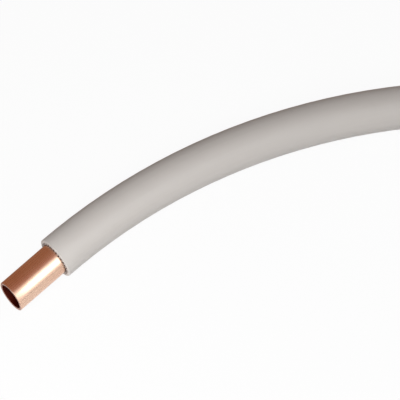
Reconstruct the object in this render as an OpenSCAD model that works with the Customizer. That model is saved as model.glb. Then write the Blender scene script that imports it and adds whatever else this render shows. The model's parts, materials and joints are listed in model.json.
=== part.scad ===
// Coil of sheathed copper tube. The tube is wound as a flat spiral that lies on the plane Z = 0
// and turns about the Z axis. Its outer end is drawn out of the coil, bends round and is stripped.

/* [Copper tube] */
// Outer diameter of the copper tube
copper_od = 12; // [10:1:15]
// Wall thickness of the copper tube
copper_wall = 1; // [0.8:0.1:1.5]

/* [Sheath] */
// Solid wall of the sheath, outside its ribs
sheath_wall = 1; // [0.8:0.1:1.5]
// Height of the ribs inside the sheath
rib_h = 0.9; // [0.5:0.1:1.2]
// Width of one rib
rib_w = 0.7; // [0.4:0.1:0.8]
// Number of ribs round the sheath
rib_count = 28; // [16:2:30]
// Play between the ribs and the copper
rib_play = 0.1; // [0.1:0.1:0.3]

/* [Coil] */
// Outer diameter of the coil
coil_d = 514; // [480:2:600]
// Number of half turns from the outer end to the inner end
half_turns = 16; // [8:2:18]
// Air between one turn and the next
turn_gap = 0.4; // [0.2:0.2:2]

/* [Free end] */
// Straight length that leaves the coil
lead_length = 204; // [160:1:300]
// Radius of the bend, at the tube's axis
bend_r = 223; // [200:1:240]
// Straight length of bare copper at the tip
bare_length = 21; // [15:1:40]

/* [Hidden] */
$fn = 96;

// The sheath's section, from the copper outwards
copper_id = copper_od - 2 * copper_wall;
rib_tip_r = copper_od / 2 + rib_play;
groove_r = rib_tip_r + rib_h;
sheath_od = 2 * (groove_r + sheath_wall);

// A plain bore that leaves as much plastic as the ribbed section has
rib_area = rib_count * rib_w * rib_h;
plain_bore_r = sqrt(pow(groove_r, 2) - rib_area / PI);

// The spiral, at the tube's axis: each half turn is half a pitch tighter than the one before it
pitch = sheath_od + turn_gap;
outer_turn_r = (coil_d - sheath_od) / 2;
axis_z = sheath_od / 2;

// Where the bend begins and turns, and where the bare end begins
bend_x = outer_turn_r - bend_r;
bare_y = lead_length + bend_r;

// Section of the copper tube
module copper_section() {
    difference() {
        circle(d = copper_od);
        circle(d = copper_id);
    }
}

// Section of the sheath in the coil, with the plain bore
module plain_section() {
    difference() {
        circle(d = sheath_od);
        circle(r = plain_bore_r);
    }
}

// Section of the sheath at the free end, with its ribs; each rib is rooted in the wall
module ribbed_section() {
    root = sheath_wall / 4;
    difference() {
        circle(d = sheath_od);
        circle(r = groove_r);
    }
    for (i = [0 : rib_count - 1])
        rotate(i * 360 / rib_count)
            translate([rib_tip_r, -rib_w / 2])
                square([rib_h + root, rib_w]);
}

// Turns a section about Z at radius r, from one angle through another
module turned(r, from, through) {
    rotate_extrude(angle = through, start = from)
        translate([r, 0])
            children();
}

// Winds a section into the coil: near halves turn about the axis, far halves half a pitch beside it
module wound() {
    for (i = [0 : half_turns - 1]) {
        near = i % 2 == 0;
        translate([near ? 0 : -pitch / 2, 0, 0])
            turned(outer_turn_r - i * pitch / 2, near ? 180 : 0, 180)
                children();
    }
}

// Runs a section straight out of the coil
module lead() {
    translate([outer_turn_r, lead_length, 0])
        rotate([90, 0, 0])
            linear_extrude(lead_length)
                children();
}

// Turns a section through the free end's bend
module bend() {
    translate([bend_x, lead_length, 0])
        turned(bend_r, 0, 90)
            children();
}

// Runs a section straight along the bare end
module bare_end() {
    translate([bend_x - bare_length, bare_y, 0])
        rotate([0, 90, 0])
            linear_extrude(bare_length)
                children();
}

// Plastic sheath, from the coil's inner end to the bare end
module sheath() {
    color("#c6c1bd")
        translate([0, 0, axis_z]) {
            wound() plain_section();
            lead() plain_section();
            bend() ribbed_section();
        }
}

// Copper tube, from the coil's inner end to the tip
module copper_tube() {
    color("#c88058")
        translate([0, 0, axis_z]) {
            wound() copper_section();
            lead() copper_section();
            bend() copper_section();
            bare_end() copper_section();
        }
}

sheath();
copper_tube();
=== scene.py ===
# %% [markdown]
# # A coil of sheathed copper tube
# The object is ten metres of soft copper tube in a light-grey plastic sheath, wound as a flat
# spiral. Its outer end is drawn out of the coil, and the last of its sheath is cut away.
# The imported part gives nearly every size, so the lesson starts by loading it.

# %% Load the part
import json
import math

import bmesh
import bpy
from mathutils import Matrix, Vector


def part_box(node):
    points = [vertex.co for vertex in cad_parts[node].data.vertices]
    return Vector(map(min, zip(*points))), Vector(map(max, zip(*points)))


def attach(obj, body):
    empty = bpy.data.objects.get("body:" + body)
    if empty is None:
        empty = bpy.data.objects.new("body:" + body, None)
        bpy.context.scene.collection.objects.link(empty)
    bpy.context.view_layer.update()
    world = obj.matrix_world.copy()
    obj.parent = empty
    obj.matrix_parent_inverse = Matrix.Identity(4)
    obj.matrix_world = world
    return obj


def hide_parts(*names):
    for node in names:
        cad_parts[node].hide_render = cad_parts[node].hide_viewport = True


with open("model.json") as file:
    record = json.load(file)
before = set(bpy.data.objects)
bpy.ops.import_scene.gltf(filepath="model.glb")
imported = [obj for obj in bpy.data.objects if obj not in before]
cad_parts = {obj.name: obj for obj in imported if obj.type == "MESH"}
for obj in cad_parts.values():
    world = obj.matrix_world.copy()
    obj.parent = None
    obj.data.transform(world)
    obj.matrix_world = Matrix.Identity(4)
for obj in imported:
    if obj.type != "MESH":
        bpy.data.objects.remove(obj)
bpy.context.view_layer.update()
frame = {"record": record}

# %% [markdown]
# ## Sizes
# The tube's bare end is an interface in the record, with its place, its radius and its length, and
# the coil's width comes from the sheath's box. The sheath lies on the floor, so its radius is the
# height of the tube's middle. The bend and the straight lead follow from those. What the record and
# a box can't tell, such as the height of a rib, is a named value where it is first needed.

# %% Read the sizes
MM = 0.001

bare_end = next(m for m in frame["record"]["mounts"] if m["name"] == "tube_end")
tip = Vector(bare_end["pos_m"])
copper_r = bare_end["dims"]["r_mm"] * MM
bare_length = bare_end["dims"]["length_mm"] * MM
sheath_r = tip.z

sheath_low, sheath_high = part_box("sheath")
outer_turn_r = (sheath_high.x - sheath_low.x) / 2 - sheath_r
sheath_end = tip + Vector((bare_length, 0, 0))
bend_r = outer_turn_r - sheath_end.x
lead_length = tip.y - bend_r
print(f"copper {2 * copper_r / MM:.1f} mm in a sheath of {2 * sheath_r / MM:.1f} mm")
print(f"bare end {bare_length / MM:.1f}, bend {bend_r / MM:.1f}, lead {lead_length / MM:.1f} mm")

# %% [markdown]
# ## The camera
# The photograph was taken from the front left, well above the tube, through a long lens that
# hardly tapers it. The camera is aimed from the tip: two distances say how far the tip lies to the
# left of the picture's middle, and how far it is on the near side of it.

# %% Place the camera
UP = Vector((0, 0, 1))
CAMERA_AZIMUTH = math.radians(-44.35)
CAMERA_ELEVATION = math.radians(64.0)
CAMERA_DISTANCE = 1.0
CAMERA_LENS = 248.5
TIP_LEFT = 67.3 * MM
TIP_NEARER = 38.3 * MM

right = Vector((math.cos(CAMERA_AZIMUTH), math.sin(CAMERA_AZIMUTH), 0))
away = UP.cross(right)
aim = tip + TIP_LEFT * right + TIP_NEARER * away
line_of_sight = math.cos(CAMERA_ELEVATION) * away - math.sin(CAMERA_ELEVATION) * UP

camera = bpy.data.objects.new("camera", bpy.data.cameras.new("camera"))
bpy.context.scene.collection.objects.link(camera)
camera.location = aim - CAMERA_DISTANCE * line_of_sight
camera.rotation_euler = line_of_sight.to_track_quat("-Z", "Y").to_euler()
camera.data.lens = CAMERA_LENS
bpy.context.scene.camera = camera
print("camera at", tuple(round(x, 3) for x in camera.location))

# %% [markdown]
# ## The way that the tube takes
# A tube could be a curve with a round bevel, but then its ribs and its cut ends would be hard to
# shape. Here the tube's section is carried along the way with the spin operator, which turns a
# profile about an axis and leaves a wall behind it. A straight stretch is a spin with a shift and
# no turn. The way has four parts: the bare end, the bend, the lead and the coil's half turns.
# Each half turn is tighter than the last, about two centres in turn, so the coil winds inwards.

# %% Describe the way as legs
TURN_GAP = 0.4 * MM
HALF_TURNS = 16
HALF_TURN_STEPS = 30
BEND_STEPS = 48
STRAIGHT_STEPS = 3


def straight(shift, steps):
    """A leg that runs straight on."""
    shift = Vector(shift)
    return {"centre": Vector(), "turn": 0, "shift": shift, "length": shift.length, "steps": steps}


def bend(centre, radius, angle, steps):
    """A leg that bends to the right about an upright axis."""
    length = radius * angle
    return {"centre": centre, "turn": -angle, "shift": Vector(), "length": length, "steps": steps}


bare_leg = straight((bare_length, 0, 0), STRAIGHT_STEPS)
bend_leg = bend(Vector((sheath_end.x, lead_length, 0)), bend_r, math.pi / 2, BEND_STEPS)
lead_leg = straight((0, -lead_length, 0), STRAIGHT_STEPS)
pitch = 2 * sheath_r + TURN_GAP
coil_legs = []
for i in range(HALF_TURNS):
    centre = Vector((-pitch / 2 if i % 2 else 0, 0, 0))
    coil_legs.append(bend(centre, outer_turn_r - i * pitch / 2, math.pi, HALF_TURN_STEPS))
covered_legs = [bend_leg, lead_leg, *coil_legs]
tube_length = bare_length + sum(leg["length"] for leg in covered_legs)
print(f"{len(covered_legs) + 1} legs, {tube_length:.3f} m of tube")

# %% [markdown]
# ## Carrying a section along the way
# A section is a flat ring of faces, as a saw would show it. Each vertex also keeps where it would
# be if the tube were pulled straight: across the tube, and along it from the tip. The finishes read
# that place, so that a line drawn by a die runs along the tube and follows every bend.
# An operator walks through its whole mesh, so a long mesh makes every step slow. Each leg is
# therefore spun by itself and added to the tube. The seams are welded at the end, and the rings
# that the legs left inside them are deleted, so only the first and the last ring close the tube.

# %% Write the helpers that make a tube
STRAIGHT = "straight"
WELD = 0.001 * MM


def loop(bm, start, radius, segments):
    """Draws one round loop across the tube, which starts out along X. Returns its edges."""
    across = Matrix.Translation(start) @ Matrix.Rotation(math.pi / 2, 4, "Y")
    edges_before = len(bm.edges)
    bmesh.ops.create_circle(bm, radius=radius, segments=segments, matrix=across)
    return bm.edges[:][edges_before:]


def rings_between(tube, first, last):
    """The faces that the legs left across the tube, where one leg goes on from another."""
    note = tube.verts.layers.float_vector[STRAIGHT]
    rings = []
    for face in tube.faces:
        places = {v[note].z for v in face.verts}
        if len(places) == 1 and first + WELD < places.pop() < last - WELD:
            rings.append(face)
    return rings


def carry(section, start, first, legs):
    """Spins the section along the legs. Returns one closed tube, with its seams welded."""
    note = section.verts.layers.float_vector.new(STRAIGHT)
    for v in section.verts:
        v[note] = Vector((v.co.y - start.y, v.co.z - start.z, first))
    along = first
    tube = bmesh.new()
    stretch = bpy.data.meshes.new("stretch")
    for leg in legs:
        share = 1 / leg["steps"]
        front = section.verts[:] + section.edges[:] + section.faces[:]
        for _ in range(leg["steps"]):
            front = bmesh.ops.spin(
                section, geom=front, cent=leg["centre"], axis=UP,
                angle=leg["turn"] * share, dvec=leg["shift"] * share, steps=1,
            )["geom_last"]
            along += leg["length"] * share
            rim = {v for v in front if isinstance(v, bmesh.types.BMVert)}
            for v in rim:
                v[note] = Vector((v[note].x, v[note].y, along))
        section.to_mesh(stretch)
        tube.from_mesh(stretch)
        passed = [v for v in section.verts if v not in rim]
        bmesh.ops.delete(section, geom=passed, context="VERTS")
    section.free()
    bpy.data.meshes.remove(stretch)
    bmesh.ops.remove_doubles(tube, verts=tube.verts[:], dist=WELD)
    bmesh.ops.delete(tube, geom=rings_between(tube, first, along), context="FACES")
    bmesh.ops.recalc_face_normals(tube, faces=tube.faces[:])
    return tube


print("helpers: loop, rings_between and carry")

# %% [markdown]
# ## Adding nodes
# A finish is a small tree of shader nodes. One function adds any node, with its settings, the
# values of its inputs and the links into them. Colours are written as on a screen, in hex, and
# shaders work in linear light, so one function changes one into the other.

# %% Write the helpers for a finish
# A Mix node keeps its colour sockets at these places, beside those for numbers and vectors.
COLOUR_A, COLOUR_B, COLOUR_OUT = 6, 7, 2


def linear(hex_colour):
    """Turns a colour such as #c8c3bf into linear light."""
    shares = [int(hex_colour[i:i + 2], 16) / 255 for i in (1, 3, 5)]
    return [s / 12.92 if s <= 0.04045 else ((s + 0.055) / 1.055) ** 2.4 for s in shares] + [1.0]


def add(tree, kind, inputs=None, **settings):
    """Adds one shader node. An input that is given a socket is linked, and any other is set."""
    node = tree.nodes.new("ShaderNode" + kind)
    for name, value in settings.items():
        setattr(node, name, value)
    for name, value in (inputs or {}).items():
        if isinstance(value, bpy.types.NodeSocket):
            tree.links.new(value, node.inputs[name])
        else:
            node.inputs[name].default_value = value
    return node


def new_material(name):
    """An empty node material, with its tree."""
    material = bpy.data.materials.new(name)
    material.use_nodes = True
    material.node_tree.nodes.clear()
    return material, material.node_tree


print("a mid grey in linear light:", [round(x, 3) for x in linear("#808080")[:3]])

# %% [markdown]
# ## The sheath's plastic
# The sheath is polyethylene that was pushed hot through a ring-shaped die and cooled in water.
# That gives a satin skin with very faint lines along the tube, where the die's edge dragged, and a
# slow drift in its tone. A flat grey would look like paint, so both are drawn: streaks about a
# millimetre wide and a hand long, and clouds a few centimetres across.

# %% Draw the plastic's patterns
STREAK_WIDTH = 1.2 * MM
STREAK_LENGTH = 90 * MM
CLOUD_SIZE = 35 * MM
GRAIN_SIZE = 0.6 * MM

extruded_polyethylene, tree = new_material("extruded_polyethylene")
place = add(tree, "Attribute", attribute_name=STRAIGHT).outputs["Vector"]
streak_scale = (1 / STREAK_WIDTH, 1 / STREAK_WIDTH, 1 / STREAK_LENGTH)
streak_place = add(tree, "Mapping", {"Vector": place, "Scale": streak_scale}).outputs["Vector"]
streaks = add(
    tree, "TexNoise", {"Vector": streak_place, "Scale": 1.0, "Detail": 2.0}
).outputs["Fac"]
clouds = add(
    tree, "TexNoise", {"Vector": place, "Scale": 1 / CLOUD_SIZE, "Detail": 3.0}
).outputs["Fac"]
grain = add(
    tree, "TexNoise", {"Vector": place, "Scale": 1 / GRAIN_SIZE, "Detail": 2.0}
).outputs["Fac"]
print("plastic: streaks, clouds and grain")

# %% Give the plastic its colour and skin
POLYETHYLENE_IOR = 1.51
SKIN_DEPTH = 0.01 * MM

streaked = add(
    tree, "Mix", {"Factor": streaks, COLOUR_A: linear("#c4beb9"), COLOUR_B: linear("#cdc8c3")},
    data_type="RGBA",
).outputs[COLOUR_OUT]
toned = add(
    tree, "Mix", {"Factor": clouds, COLOUR_A: streaked, COLOUR_B: linear("#c9c4c0")},
    data_type="RGBA",
).outputs[COLOUR_OUT]
satin = add(tree, "MapRange", {"Value": grain, "To Min": 0.38, "To Max": 0.52}).outputs["Result"]
relief = add(tree, "Math", {0: grain, 1: streaks}, operation="ADD").outputs["Value"]
skin = add(
    tree, "Bump", {"Height": relief, "Strength": 0.5, "Distance": SKIN_DEPTH}
).outputs["Normal"]
plastic = add(
    tree, "BsdfPrincipled",
    {"Base Color": toned, "Roughness": satin, "IOR": POLYETHYLENE_IOR, "Normal": skin},
)
add(tree, "OutputMaterial", {"Surface": plastic.outputs["BSDF"]})
print("plastic:", len(tree.nodes), "nodes")

# %% [markdown]
# ## The copper
# The tube was drawn cold through a die over a plug, and left bright. Drawing polishes copper and
# leaves hair-fine lines along it, which soften its mirror image of the room. Handling adds a little
# brown tarnish in patches. The real lines are a few hundredths of a millimetre wide, too fine to
# show here, so they are drawn a quarter of a millimetre wide.

# %% Draw the copper's patterns
DRAW_LINE_WIDTH = 0.25 * MM
DRAW_LINE_LENGTH = 40 * MM
TARNISH_SIZE = 9 * MM

drawn_copper, tree = new_material("bright_drawn_copper")
place = add(tree, "Attribute", attribute_name=STRAIGHT).outputs["Vector"]
line_scale = (1 / DRAW_LINE_WIDTH, 1 / DRAW_LINE_WIDTH, 1 / DRAW_LINE_LENGTH)
line_place = add(tree, "Mapping", {"Vector": place, "Scale": line_scale}).outputs["Vector"]
lines = add(tree, "TexNoise", {"Vector": line_place, "Scale": 1.0, "Detail": 3.0}).outputs["Fac"]
tarnish = add(
    tree, "TexNoise", {"Vector": place, "Scale": 1 / TARNISH_SIZE, "Detail": 4.0}
).outputs["Fac"]
print("copper: drawing lines and tarnish")

# %% Give the copper its colour and polish
LINE_DEPTH = 0.003 * MM

tarnished = add(
    tree, "MapRange", {"Value": tarnish, "From Min": 0.45, "From Max": 0.8, "To Max": 0.5}
).outputs["Result"]
copper_colour = add(
    tree, "Mix", {"Factor": tarnished, COLOUR_A: linear("#f0cbb3"), COLOUR_B: linear("#dfa88b")},
    data_type="RGBA",
).outputs[COLOUR_OUT]
polish = add(tree, "MapRange", {"Value": lines, "To Min": 0.22, "To Max": 0.34}).outputs["Result"]
drawn = add(
    tree, "Bump", {"Height": lines, "Strength": 0.5, "Distance": LINE_DEPTH}
).outputs["Normal"]
metal = add(
    tree, "BsdfPrincipled",
    {"Base Color": copper_colour, "Metallic": 1.0, "Roughness": polish, "Normal": drawn},
)
add(tree, "OutputMaterial", {"Surface": metal.outputs["BSDF"]})
print("copper:", len(tree.nodes), "nodes")

# %% [markdown]
# ## The bore of the copper
# Annealing left the inside with a thin dark film of red oxide, a little blotchy, so the mouth of
# the tube looks nearly black with a red cast. A matt brown would lose the dull gleam that the film
# still has, so the bore stays a metal, with dark colours and a rougher surface.

# %% Make the bore's finish
FILM_SIZE = 3 * MM

oxidised_bore, tree = new_material("annealed_copper_oxide_film")
place = add(tree, "Attribute", attribute_name=STRAIGHT).outputs["Vector"]
film = add(
    tree, "TexNoise", {"Vector": place, "Scale": 1 / FILM_SIZE, "Detail": 4.0}
).outputs["Fac"]
film_colour = add(
    tree, "Mix", {"Factor": film, COLOUR_A: linear("#5c2018"), COLOUR_B: linear("#7b3224")},
    data_type="RGBA",
).outputs[COLOUR_OUT]
dull = add(tree, "MapRange", {"Value": film, "To Min": 0.40, "To Max": 0.60}).outputs["Result"]
bore_metal = add(
    tree, "BsdfPrincipled", {"Base Color": film_colour, "Metallic": 1.0, "Roughness": dull}
)
add(tree, "OutputMaterial", {"Surface": bore_metal.outputs["BSDF"]})
print("bore:", len(tree.nodes), "nodes")

# %% [markdown]
# ## The cut rim of the copper
# A cutter's wheel presses its way through the wall. It leaves a narrow rim that is duller than the
# drawn skin, with fine marks all over it. Its brown is darker than the skin: partly the cut's own
# dull finish, and partly painted shade for the dark floor that the rim mirrors under the mouth.
# The marks are drawn a tenth of a millimetre across, several times coarser than the real ones,
# which would not show.

# %% Make the rim's finish
MARK_SIZE = 0.1 * MM

cut_rim_copper_and_painted_shade, tree = new_material("cut_rim_copper_and_painted_shade")
place = add(tree, "Attribute", attribute_name=STRAIGHT).outputs["Vector"]
marks = add(
    tree, "TexNoise", {"Vector": place, "Scale": 1 / MARK_SIZE, "Detail": 2.0}
).outputs["Fac"]
# Partly painted shade: the rim's colour is darker than the copper's, for the dark floor it mirrors.
rim_and_painted_shade_colour = add(
    tree, "Mix", {"Factor": marks, COLOUR_A: linear("#a87c6c"), COLOUR_B: linear("#c09686")},
    data_type="RGBA",
).outputs[COLOUR_OUT]
marked = add(tree, "MapRange", {"Value": marks, "To Min": 0.30, "To Max": 0.45}).outputs["Result"]
rim_metal = add(
    tree, "BsdfPrincipled", {"Base Color": rim_and_painted_shade_colour, "Metallic": 1.0, "Roughness": marked}
)
add(tree, "OutputMaterial", {"Surface": rim_metal.outputs["BSDF"]})
print("rim:", len(tree.nodes), "nodes")

# %% [markdown]
# ## Cutting and finishing a tube
# A spun tube ends in flat, square cuts, and no hand tool leaves those. One helper finds the edges
# of a cut by their place along the tube, and another slants the cut. The last one makes the bmesh
# an object that is shaded smooth, with a crease wherever its wall turns sharply.

# %% Write the helpers that finish a tube
CREASE_ANGLE = math.radians(40)


def edges_at(bm, along):
    """The edges that lie in the cut across the tube at one place along it."""
    note = bm.verts.layers.float_vector[STRAIGHT]
    at_cut = {v for v in bm.verts if abs(v[note].z - along) < WELD}
    return [e for e in bm.edges if at_cut.issuperset(e.verts)]


def slant_cut(bm, along, slope, shift):
    """Slants a cut across the X axis, by a slope sideways and one upwards, and shifts it along X."""
    note = bm.verts.layers.float_vector[STRAIGHT]
    cut_verts = {v for e in edges_at(bm, along) for v in e.verts}
    for v in cut_verts:
        v.co.x += shift + v[note].xy.dot(slope)
    print(f"cut at {along:.3f} m: {len(cut_verts)} points slanted")


def finish_mesh(bm, name, *materials):
    """Makes the bmesh a smooth object at the origin, with creases where it turns sharply."""
    open_edges = sum(len(e.link_faces) != 2 for e in bm.edges)
    mesh = bpy.data.meshes.new(name)
    bm.to_mesh(mesh)
    bm.free()
    mesh.shade_smooth()
    mesh.set_sharp_from_angle(angle=CREASE_ANGLE)
    for material in materials:
        mesh.materials.append(material)
    piece = bpy.data.objects.new(name, mesh)
    bpy.context.scene.collection.objects.link(piece)
    mesh.calc_loop_triangles()
    print(f"{name}: {len(mesh.loop_triangles)} triangles, {open_edges} open edges")
    return piece


print("helpers: edges_at, slant_cut and finish_mesh")

# %% [markdown]
# ## The copper tube
# The tube's section is carried from the tip right through the coil. The wall of the bore and the
# two cut rims get finishes of their own. A tube cutter leaves the ends nearly square with a
# slightly eased edge, so the tip is slanted by nearly a millimetre, and the rims get a small round
# bevel that catches the light.

# %% Carry the copper along the way
COPPER_WALL = 1.0 * MM
COPPER_SEGMENTS = 48
OUTSIDE, BORE, RIM = 0, 1, 2

section = bmesh.new()
outside = loop(section, tip, copper_r, COPPER_SEGMENTS)
bore = loop(section, tip, copper_r - COPPER_WALL, COPPER_SEGMENTS)
bmesh.ops.bridge_loops(section, edges=outside + bore)
bm = carry(section, tip, 0, [bare_leg, *covered_legs])
note = bm.verts.layers.float_vector[STRAIGHT]
for face in bm.faces:
    in_bore = all(v[note].xy.length < copper_r - COPPER_WALL / 2 for v in face.verts)
    in_cut = len({v[note].z for v in face.verts}) == 1
    face.material_index = RIM if in_cut else BORE if in_bore else OUTSIDE
print(f"copper: {len(bm.faces)} faces")

# %% Cut and ease the copper's ends
# A slope is sideways and upwards, in metres along the tube for each metre across it.
TIP_SLOPE = Vector((0.068, 0.033))
TIP_SHIFT = -0.12 * MM
COPPER_EASE = 0.2 * MM
SHARP_TURN = math.radians(60)

slant_cut(bm, 0, TIP_SLOPE, TIP_SHIFT)
for end in (0, tube_length):
    rims = [e for e in edges_at(bm, end) if e.calc_face_angle() > SHARP_TURN]
    bmesh.ops.bevel(
        bm, geom=rims, offset=COPPER_EASE, affect="EDGES", segments=3, profile=0.5, material=-1
    )
    print(f"cut at {end:.3f} m: {len(rims)} edges eased")
rim_area = sum(face.calc_area() for face in bm.faces if face.material_index == RIM)
print(f"cut rims: {rim_area / MM ** 2:.1f} square millimetres")
copper_piece = finish_mesh(bm, "drawn_tube", drawn_copper, oxidised_bore, cut_rim_copper_and_painted_shade)

# %% [markdown]
# ## The bore of the sheath
# The bore is the same plastic, but its colour here is a dark red-brown, in blotches a couple of
# millimetres across. That colour is painted shade: it stands in for the shade deep in the grooves,
# so they look dark at the cut. Its specular level is low, so that little gloss lights it up.

# %% Make the bore's painted shade
SHADE_BLOTCH_SIZE = 2 * MM

bore_painted_shade_finish, tree = new_material("sheath_bore_painted_shade")
place = add(tree, "Attribute", attribute_name=STRAIGHT).outputs["Vector"]
shade_blotches = add(
    tree, "TexNoise", {"Vector": place, "Scale": 1 / SHADE_BLOTCH_SIZE, "Detail": 3.0}
).outputs["Fac"]
# Painted shade: the dark red-brown stands in for the shade in the grooves.
painted_shade_colour = add(
    tree, "Mix", {"Factor": shade_blotches, COLOUR_A: linear("#35120d"), COLOUR_B: linear("#4c211a")},
    data_type="RGBA",
).outputs[COLOUR_OUT]
bore_roughness = add(tree, "MapRange", {"Value": shade_blotches, "To Min": 0.40, "To Max": 0.60}).outputs["Result"]
darkened = add(
    tree, "BsdfPrincipled",
    {
        "Base Color": painted_shade_colour, "Roughness": bore_roughness,
        "IOR": POLYETHYLENE_IOR, "Specular IOR Level": 0.15,
    },
)
add(tree, "OutputMaterial", {"Surface": darkened.outputs["BSDF"]})
print("stained bore:", len(tree.nodes), "nodes")

# %% [markdown]
# ## The sheath
# The sheath's bore is ribbed: only the ribs come near the tube, and the grooves hold air round it.
# Its section is two rings, one inside the other: the wall, and a ring as thick as the ribs are
# high. Two faces of the inner ring make one rib and one groove, so every second face is deleted.
# A knife cut by hand is never quite square, and it drags the soft outer rim round. This cut runs
# back a little on the far side, so it is slanted before the outer rim is eased.

# %% Draw the sheath's section
RIB_COUNT = 28
RIB_PLAY = 0.1 * MM
RIB_HEIGHT = 0.9 * MM

crest_r = copper_r + RIB_PLAY
groove_r = crest_r + RIB_HEIGHT
mid_wall_r = (groove_r + sheath_r) / 2
section = bmesh.new()
outside, grooves, crests = [
    loop(section, sheath_end, radius, 2 * RIB_COUNT) for radius in (sheath_r, groove_r, crest_r)
]
bmesh.ops.bridge_loops(section, edges=outside + grooves)
inner_ring = bmesh.ops.bridge_loops(section, edges=grooves + crests)["faces"]
bmesh.ops.delete(section, geom=inner_ring[::2], context="FACES")
section_area = sum(face.calc_area() for face in section.faces)
print(f"section: {len(section.faces)} faces, {section_area / MM ** 2:.1f} square millimetres")

# %% Carry the sheath along the tube
bm = carry(section, sheath_end, bare_length, covered_legs)
note = bm.verts.layers.float_vector[STRAIGHT]
for face in bm.faces:
    in_bore = all(v[note].xy.length < mid_wall_r for v in face.verts)
    in_cut = len({v[note].z for v in face.verts}) == 1
    face.material_index = BORE if in_bore and not in_cut else OUTSIDE
print(f"sheath: {len(bm.faces)} faces")

# %% Cut and ease the sheath's ends
CUT_SLOPE = Vector((0.05, 0))
CUT_SHIFT = 0.4 * MM
SHEATH_EASE = 0.45 * MM

slant_cut(bm, bare_length, CUT_SLOPE, CUT_SHIFT)
for end in (bare_length, tube_length):
    rims = [
        e for e in edges_at(bm, end)
        if all(v[note].xy.length > mid_wall_r for v in e.verts)
    ]
    bmesh.ops.bevel(
        bm, geom=rims, offset=SHEATH_EASE, affect="EDGES", segments=4, profile=0.5, material=-1
    )
    print(f"cut at {end:.3f} m: {len(rims)} edges eased")
sheath_piece = finish_mesh(bm, "ribbed_sheath", extruded_polyethylene, bore_painted_shade_finish)

# %% [markdown]
# ## Joining the pieces to the part
# The new pieces stand for the part's own solids, which stay behind them for collisions. They ride
# on its one body.

# %% Hand the pieces to the frame
for piece, node_name in ((copper_piece, "copper_tube"), (sheath_piece, "sheath")):
    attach(piece, "root")
    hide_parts(node_name)
    print(piece.name, "stands for", node_name)

# %% [markdown]
# ## The floor
# The photograph's ground is pure white. A white floor under a plain light comes out light grey, so
# the floor mixes in a glow that only the camera and mirror-like surfaces see. The rest is an
# ordinary matt white, which takes the object's shadow and throws light back up at the tube.
# Bright metal shows more of that shadow than the camera does, so a mirror sees less of the glow.
# Cycles counts a glowing surface among its lamps. This one lights nothing, so it is taken off that
# list, which leaves less grain in the picture.

# %% Lay the floor
FLOOR_SIZE = 40.0
GLOW_IN_PICTURE = 0.94
GLOW_IN_MIRRORS = 0.3


def shown_rays(tree, to_camera, to_mirrors):
    """A socket with one value for what the camera shows, one for mirrors and glass, and else 0."""
    rays = add(tree, "LightPath").outputs
    shares = {
        "Is Camera Ray": to_camera,
        "Is Glossy Ray": to_mirrors,
        "Is Transmission Ray": to_mirrors,
    }
    shown = 0
    for ray, share in shares.items():
        share_of_ray = {0: rays[ray], 1: share, 2: shown}
        shown = add(tree, "Math", share_of_ray, operation="MULTIPLY_ADD").outputs["Value"]
    return shown


white_floor, tree = new_material("matt_white_floor")
glowing = shown_rays(tree, GLOW_IN_PICTURE, GLOW_IN_MIRRORS)
matt = add(tree, "BsdfDiffuse", {"Color": linear("#e0e0e0")}).outputs["BSDF"]
glow = add(tree, "Emission", {"Color": linear("#ffffff"), "Strength": 1.0}).outputs["Emission"]
mixed = add(tree, "MixShader", {"Fac": glowing, 1: matt, 2: glow}).outputs["Shader"]
add(tree, "OutputMaterial", {"Surface": mixed})
white_floor.cycles.emission_sampling = "NONE"

bm = bmesh.new()
bmesh.ops.create_grid(bm, x_segments=1, y_segments=1, size=FLOOR_SIZE / 2)
finish_mesh(bm, "floor", white_floor)

# %% [markdown]
# ## The lamps
# Bright metal shows the room as much as itself, and along the copper runs a white band, the image
# of a softbox on the near side. The sheath is brightest towards the camera, and it darkens slowly
# away from its cut end. So a large softbox stands well off, a small lamp stands by the cut, and a
# third hangs over the coil. That third one has a grid that gathers its light on the coil. No mirror
# shows the two small ones, because the photograph's copper has one bright band and no more.

# %% Set up the lamps
GRID_ANGLE = math.radians(40)


def towards(azimuth, elevation):
    """A direction from the picture's middle: azimuth 0 is to the right, and -90 to the camera."""
    azimuth, elevation = math.radians(azimuth), math.radians(elevation)
    level = math.cos(azimuth) * right + math.sin(azimuth) * away
    return math.cos(elevation) * level + math.sin(elevation) * UP


def softbox(name, target, direction, distance, width, height, brightness):
    """A soft lamp that faces a target. A brightness of 1 is white in a mirror."""
    lamp = bpy.data.lights.new(name, "AREA")
    lamp.shape = "RECTANGLE"
    lamp.size = width
    lamp.size_y = height
    lamp.energy = brightness * math.pi * width * height
    holder = bpy.data.objects.new(name, lamp)
    bpy.context.scene.collection.objects.link(holder)
    holder.location = target + distance * direction
    holder.rotation_euler = (-direction).to_track_quat("-Z", "Y").to_euler()
    holder.visible_camera = False
    print(f"{name}: {lamp.energy:.1f} W at {distance} m")
    return holder


softbox("side_softbox", aim, towards(-24, 41), distance=2.5, width=1.3, height=1.8, brightness=2.05)
cut_lamp = softbox(
    "cut_lamp", sheath_end, towards(-115, 45), distance=0.25, width=0.1, height=0.1, brightness=14.5
)
coil_lamp = softbox(
    "coil_softbox", Vector(), UP, distance=0.8, width=0.7, height=0.7, brightness=0.5
)
coil_lamp.data.spread = GRID_ANGLE
for unmirrored in (cut_lamp, coil_lamp):
    unmirrored.visible_glossy = False

# %% [markdown]
# ## The card that paints a reflection
# Beside its white band the copper has a brown one. That band is a painted reflection: the image of
# a glowing brown card on the far side, which no lamp lights. The card leans towards the free end.
# It starts beyond the tip and follows the bend, so that copper and sheath both show it evenly. It
# could be lit like the rest, but a card that glows by itself keeps its colour wherever the lamps
# stand. Its colour is painted lighter towards its top. Only mirror-like surfaces see it, and like
# the floor it is taken off the list of lamps.

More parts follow.
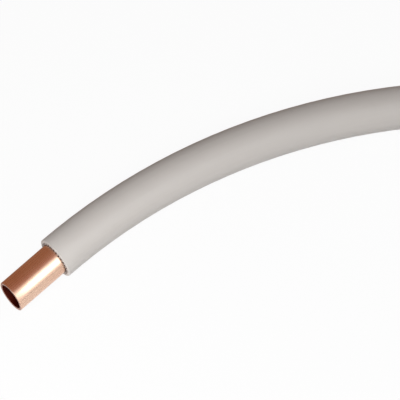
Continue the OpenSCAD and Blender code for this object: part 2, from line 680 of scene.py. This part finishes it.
# %% Stand the card that paints the brown reflection
CARD_GAP = 4 * MM
CARD_OVERHANG = 15 * MM
CARD_HEIGHT = 105 * MM
CARD_LEAN = 33 * MM
CARD_SHADE = 45 * MM

# A glowing card that is no lamp: a painted reflection, seen only by mirror-like surfaces.
painted_reflection_card, tree = new_material("painted_reflection_card")
spot = add(tree, "TexCoord").outputs["Object"]
height = add(tree, "SeparateXYZ", {"Vector": spot}).outputs["Z"]
# Painted light: the card's colour grows lighter towards its top.
painted_lighter_top = add(
    tree, "MapRange", {"Value": height, "From Min": 2 * sheath_r, "From Max": CARD_SHADE}
).outputs["Result"]
painted_reflection_colour = add(
    tree, "Mix", {"Factor": painted_lighter_top, COLOUR_A: linear("#976e57"), COLOUR_B: linear("#b18577")},
    data_type="RGBA",
).outputs[COLOUR_OUT]
painted_reflection_glow = add(tree, "Emission", {"Color": painted_reflection_colour, "Strength": 1.0}).outputs["Emission"]
add(tree, "OutputMaterial", {"Surface": painted_reflection_glow})
painted_reflection_card.cycles.emission_sampling = "NONE"

bm = bmesh.new()
foot = Vector((tip.x - CARD_OVERHANG, tip.y + sheath_r + CARD_GAP, 0))
top = foot + Vector((0, -CARD_LEAN, CARD_HEIGHT))
upright = bm.edges.new([bm.verts.new(foot), bm.verts.new(top)])
front = [*upright.verts, upright]
for leg in (straight((CARD_OVERHANG + bare_length, 0, 0), steps=1), bend_leg):
    front = bmesh.ops.spin(
        bm, geom=front, cent=leg["centre"], axis=UP,
        angle=leg["turn"], dvec=leg["shift"], steps=leg["steps"],
    )["geom_last"]
card = finish_mesh(bm, "card", painted_reflection_card)
card.visible_camera = False
card.visible_diffuse = False
card.visible_shadow = False

# %% [markdown]
# ## The room
# Weak light from all round keeps the shadows open and leaves the lamps to shape the tube. The
# camera and mirror-like surfaces see the room as plain white, like the floor. The Standard view
# shows a colour about as it is written.

# %% Fill the room with light
ROOM_LIGHT = 0.20

world = bpy.data.worlds.new("studio")
world.use_nodes = True
bpy.context.scene.world = world
tree = world.node_tree
tree.nodes.clear()
strength = add(
    tree, "MapRange", {"Value": shown_rays(tree, 1, 1), "To Min": ROOM_LIGHT, "To Max": 1.0}
).outputs["Result"]
room = add(
    tree, "Background", {"Color": linear("#ffffff"), "Strength": strength}
).outputs["Background"]
add(tree, "OutputWorld", {"Surface": room})
bpy.context.scene.view_settings.view_transform = "Standard"
print("room light:", ROOM_LIGHT)
